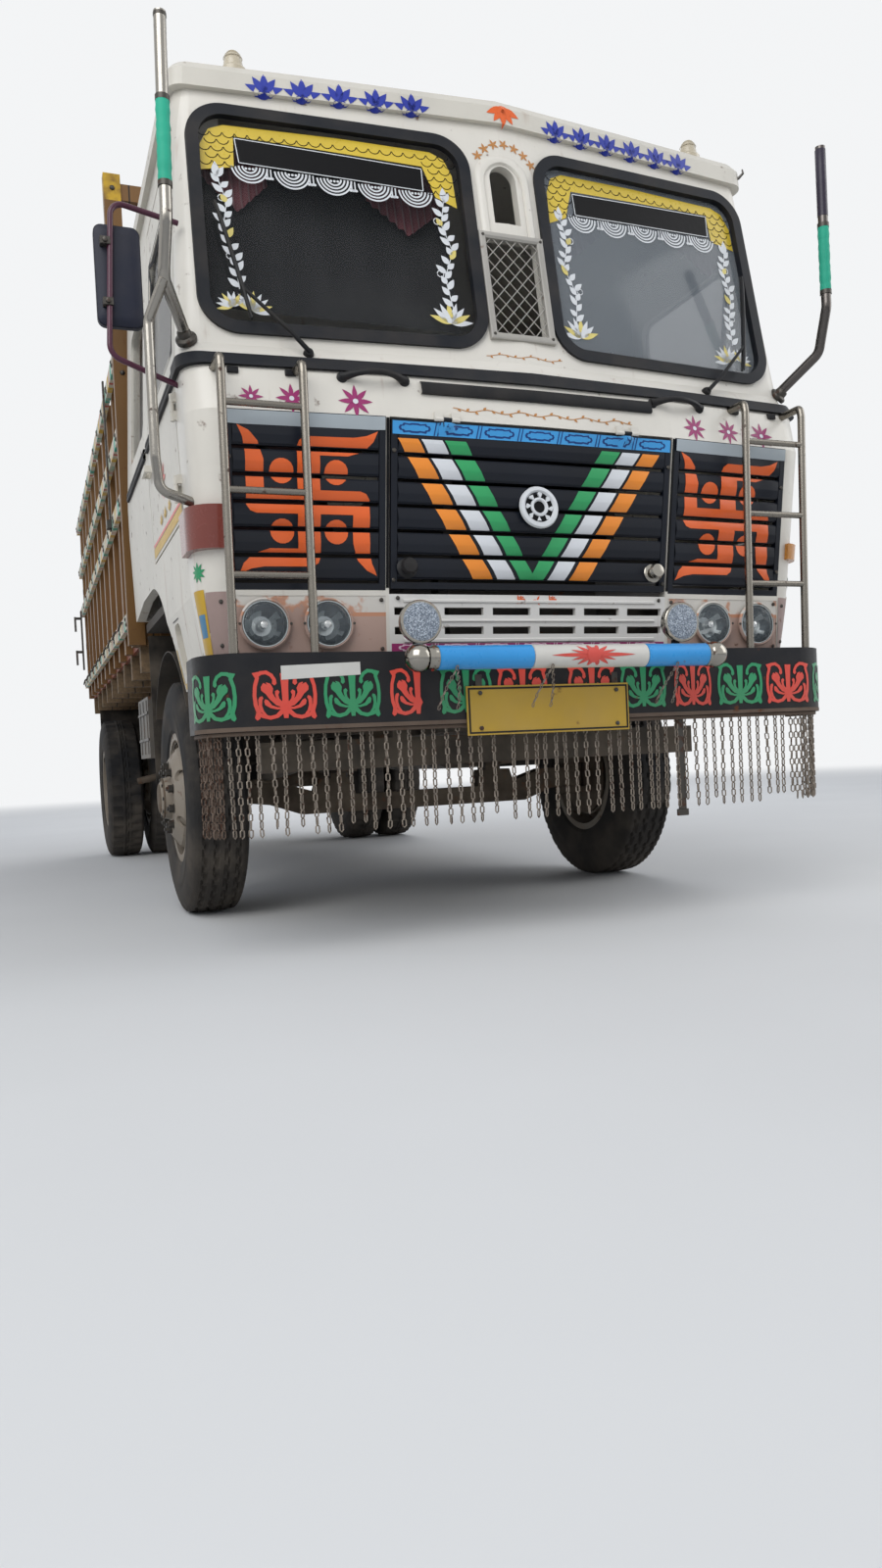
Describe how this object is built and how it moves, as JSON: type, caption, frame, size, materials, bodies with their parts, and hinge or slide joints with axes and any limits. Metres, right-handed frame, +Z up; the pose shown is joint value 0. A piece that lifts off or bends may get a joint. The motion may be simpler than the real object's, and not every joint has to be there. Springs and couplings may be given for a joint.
{
  "type": "decorated truck",
  "caption": "Two-axle lorry with a painted forward-control cab, lattice-sided load body, twin rear wheels and a fringe of chains under its front bumper.",
  "frame": {"origin": "middle of the whole box, on the ground; the truck's own centre plane is at x = 0.079 because the mirror stands out further on one side", "axes": "+Z up, the front faces -Y, +X is the truck's left side"},
  "size_m": [2.728, 6.373, 3.57],
  "materials": {
    "cab_paint": "old cream paint with rust streaks",
    "roof_paint": "old cream paint",
    "louvre_paint": "blue-black paint on pressed louvres",
    "grille_white": "white paint with dirt in the slots",
    "lamp_panel_paint": "faded pinkish-brown paint",
    "bumper_paint": "black paint with painted scrolls",
    "chain_steel": "dull steel with rust",
    "bar_paint": "blue and white paint",
    "chrome": "bright plate, pitted",
    "dark_steel": "black chassis paint with road dirt",
    "lamp_glass": "clear lens over a bright bowl",
    "marker_lens": "weathered lamp lens",
    "glass": "clear glass, tinted along the top",
    "rubber": "weathered black rubber",
    "mirror_shell": "black moulding",
    "maroon_tube": "maroon paint",
    "seat_cloth": "red-brown leatherette",
    "dash_plastic": "grained dark plastic",
    "engine_iron": "grey casting, oily",
    "axle_iron": "black casting with dust",
    "tank_paint": "grey paint",
    "tyre": "worn tread, dusty walls",
    "wheel_paint": "red paint with dirt",
    "bed_timber": "worn planks",
    "body_paint": "brown paint with yellow edges",
    "rail_paint": "cream paint, weathered"
  },
  "bodies": {
    "chassis": {"frame_rails": "dark_steel", "cross_members": "dark_steel", "front_bumper": "bumper_paint", "chain_fringe": "chain_steel", "crash_bar": "bar_paint", "front_ladders": "chrome", "lower_grille": "grille_white", "side_grilles": "louvre_paint", "lamp_panels": "lamp_panel_paint", "front_lamps": "lamp_glass", "marker_lamps": "marker_lens", "cab_front": "cab_paint", "cab_sides": "cab_paint", "cab_rear": "cab_paint", "cab_roof": "roof_paint", "cab_floor": "dark_steel", "cab_glass": "glass", "cab_rubber": "rubber", "corner_poles": "chrome", "mirror_bracket": "maroon_tube", "mirror": "mirror_shell", "seats": "seat_cloth", "dashboard": "dash_plastic", "steering_wheel": "dash_plastic", "engine": "engine_iron", "driveline": "axle_iron", "exhaust": "axle_iron", "front_axle": "axle_iron", "rear_axle": "axle_iron", "leaf_springs": "dark_steel", "side_tanks": "tank_paint", "bed_floor": "bed_timber", "side_uprights": "body_paint", "side_rails": "rail_paint", "side_boards": "bed_timber", "bulkhead": "body_paint", "bulkhead_posts": "body_paint", "body_latches": "dark_steel", "front_guards": "dark_steel", "mud_flaps": "rubber"},
    "grille_flap": {"centre_grille": "louvre_paint"},
    "cab_door_left": {"door_left": "cab_paint", "door_left_glass": "glass"},
    "cab_door_right": {"door_right": "cab_paint", "door_right_glass": "glass"},
    "tail_gate": {"tailgate": "body_paint"},
    "knuckle_l": {"knuckle_left": "axle_iron"},
    "knuckle_r": {"knuckle_right": "axle_iron"},
    "wheel_front_l": {"tyre_front_left": "tyre", "rim_front_left": "wheel_paint"},
    "wheel_front_r": {"tyre_front_right": "tyre", "rim_front_right": "wheel_paint"},
    "wheels_rear_l": {"tyres_rear_left": "tyre", "rims_rear_left": "wheel_paint"},
    "wheels_rear_r": {"tyres_rear_right": "tyre", "rims_rear_right": "wheel_paint"}
  },
  "joints": [
    {"name": "steer_left", "type": "hinge", "parent": "chassis", "child": "knuckle_l", "pos_m": [0.929, -1.5115, 0.51], "axis": [0, 0, 1], "range_deg": [-34, 34]},
    {"name": "steer_right", "type": "hinge", "parent": "chassis", "child": "knuckle_r", "pos_m": [-0.771, -1.5115, 0.51], "axis": [0, 0, 1], "range_deg": [-34, 34]},
    {"name": "wheel_front_left", "type": "hinge", "parent": "knuckle_l", "child": "wheel_front_l", "pos_m": [1.087, -1.5115, 0.51], "axis": [1, 0, 0], "continuous": true},
    {"name": "wheel_front_right", "type": "hinge", "parent": "knuckle_r", "child": "wheel_front_r", "pos_m": [-0.929, -1.5115, 0.51], "axis": [1, 0, 0], "continuous": true},
    {"name": "wheels_rear_left", "type": "hinge", "parent": "chassis", "child": "wheels_rear_l", "pos_m": [0.995, 2.0885, 0.51], "axis": [1, 0, 0], "continuous": true},
    {"name": "wheels_rear_right", "type": "hinge", "parent": "chassis", "child": "wheels_rear_r", "pos_m": [-0.837, 2.0885, 0.51], "axis": [1, 0, 0], "continuous": true},
    {"name": "door_left_hinge", "type": "hinge", "parent": "chassis", "child": "cab_door_left", "pos_m": [1.291, -2.6575, 2.14], "axis": [0, 0, -1], "range_deg": [0, 68]},
    {"name": "door_right_hinge", "type": "hinge", "parent": "chassis", "child": "cab_door_right", "pos_m": [-1.133, -2.6575, 2.14], "axis": [0, 0, 1], "range_deg": [0, 68]},
    {"name": "tailgate_hinge", "type": "hinge", "parent": "chassis", "child": "tail_gate", "pos_m": [0.079, 3.1725, 1.29], "axis": [-1, 0, 0], "range_deg": [0, 175]},
    {"name": "grille_hinge", "type": "hinge", "parent": "chassis", "child": "grille_flap", "pos_m": [0.079, -2.9695, 1.764], "axis": [-1, 0, 0], "range_deg": [0, 75]}
  ],
  "couplings": [
    {"joint": "steer_right", "follows": "steer_left", "ratio": 1}
  ]
}
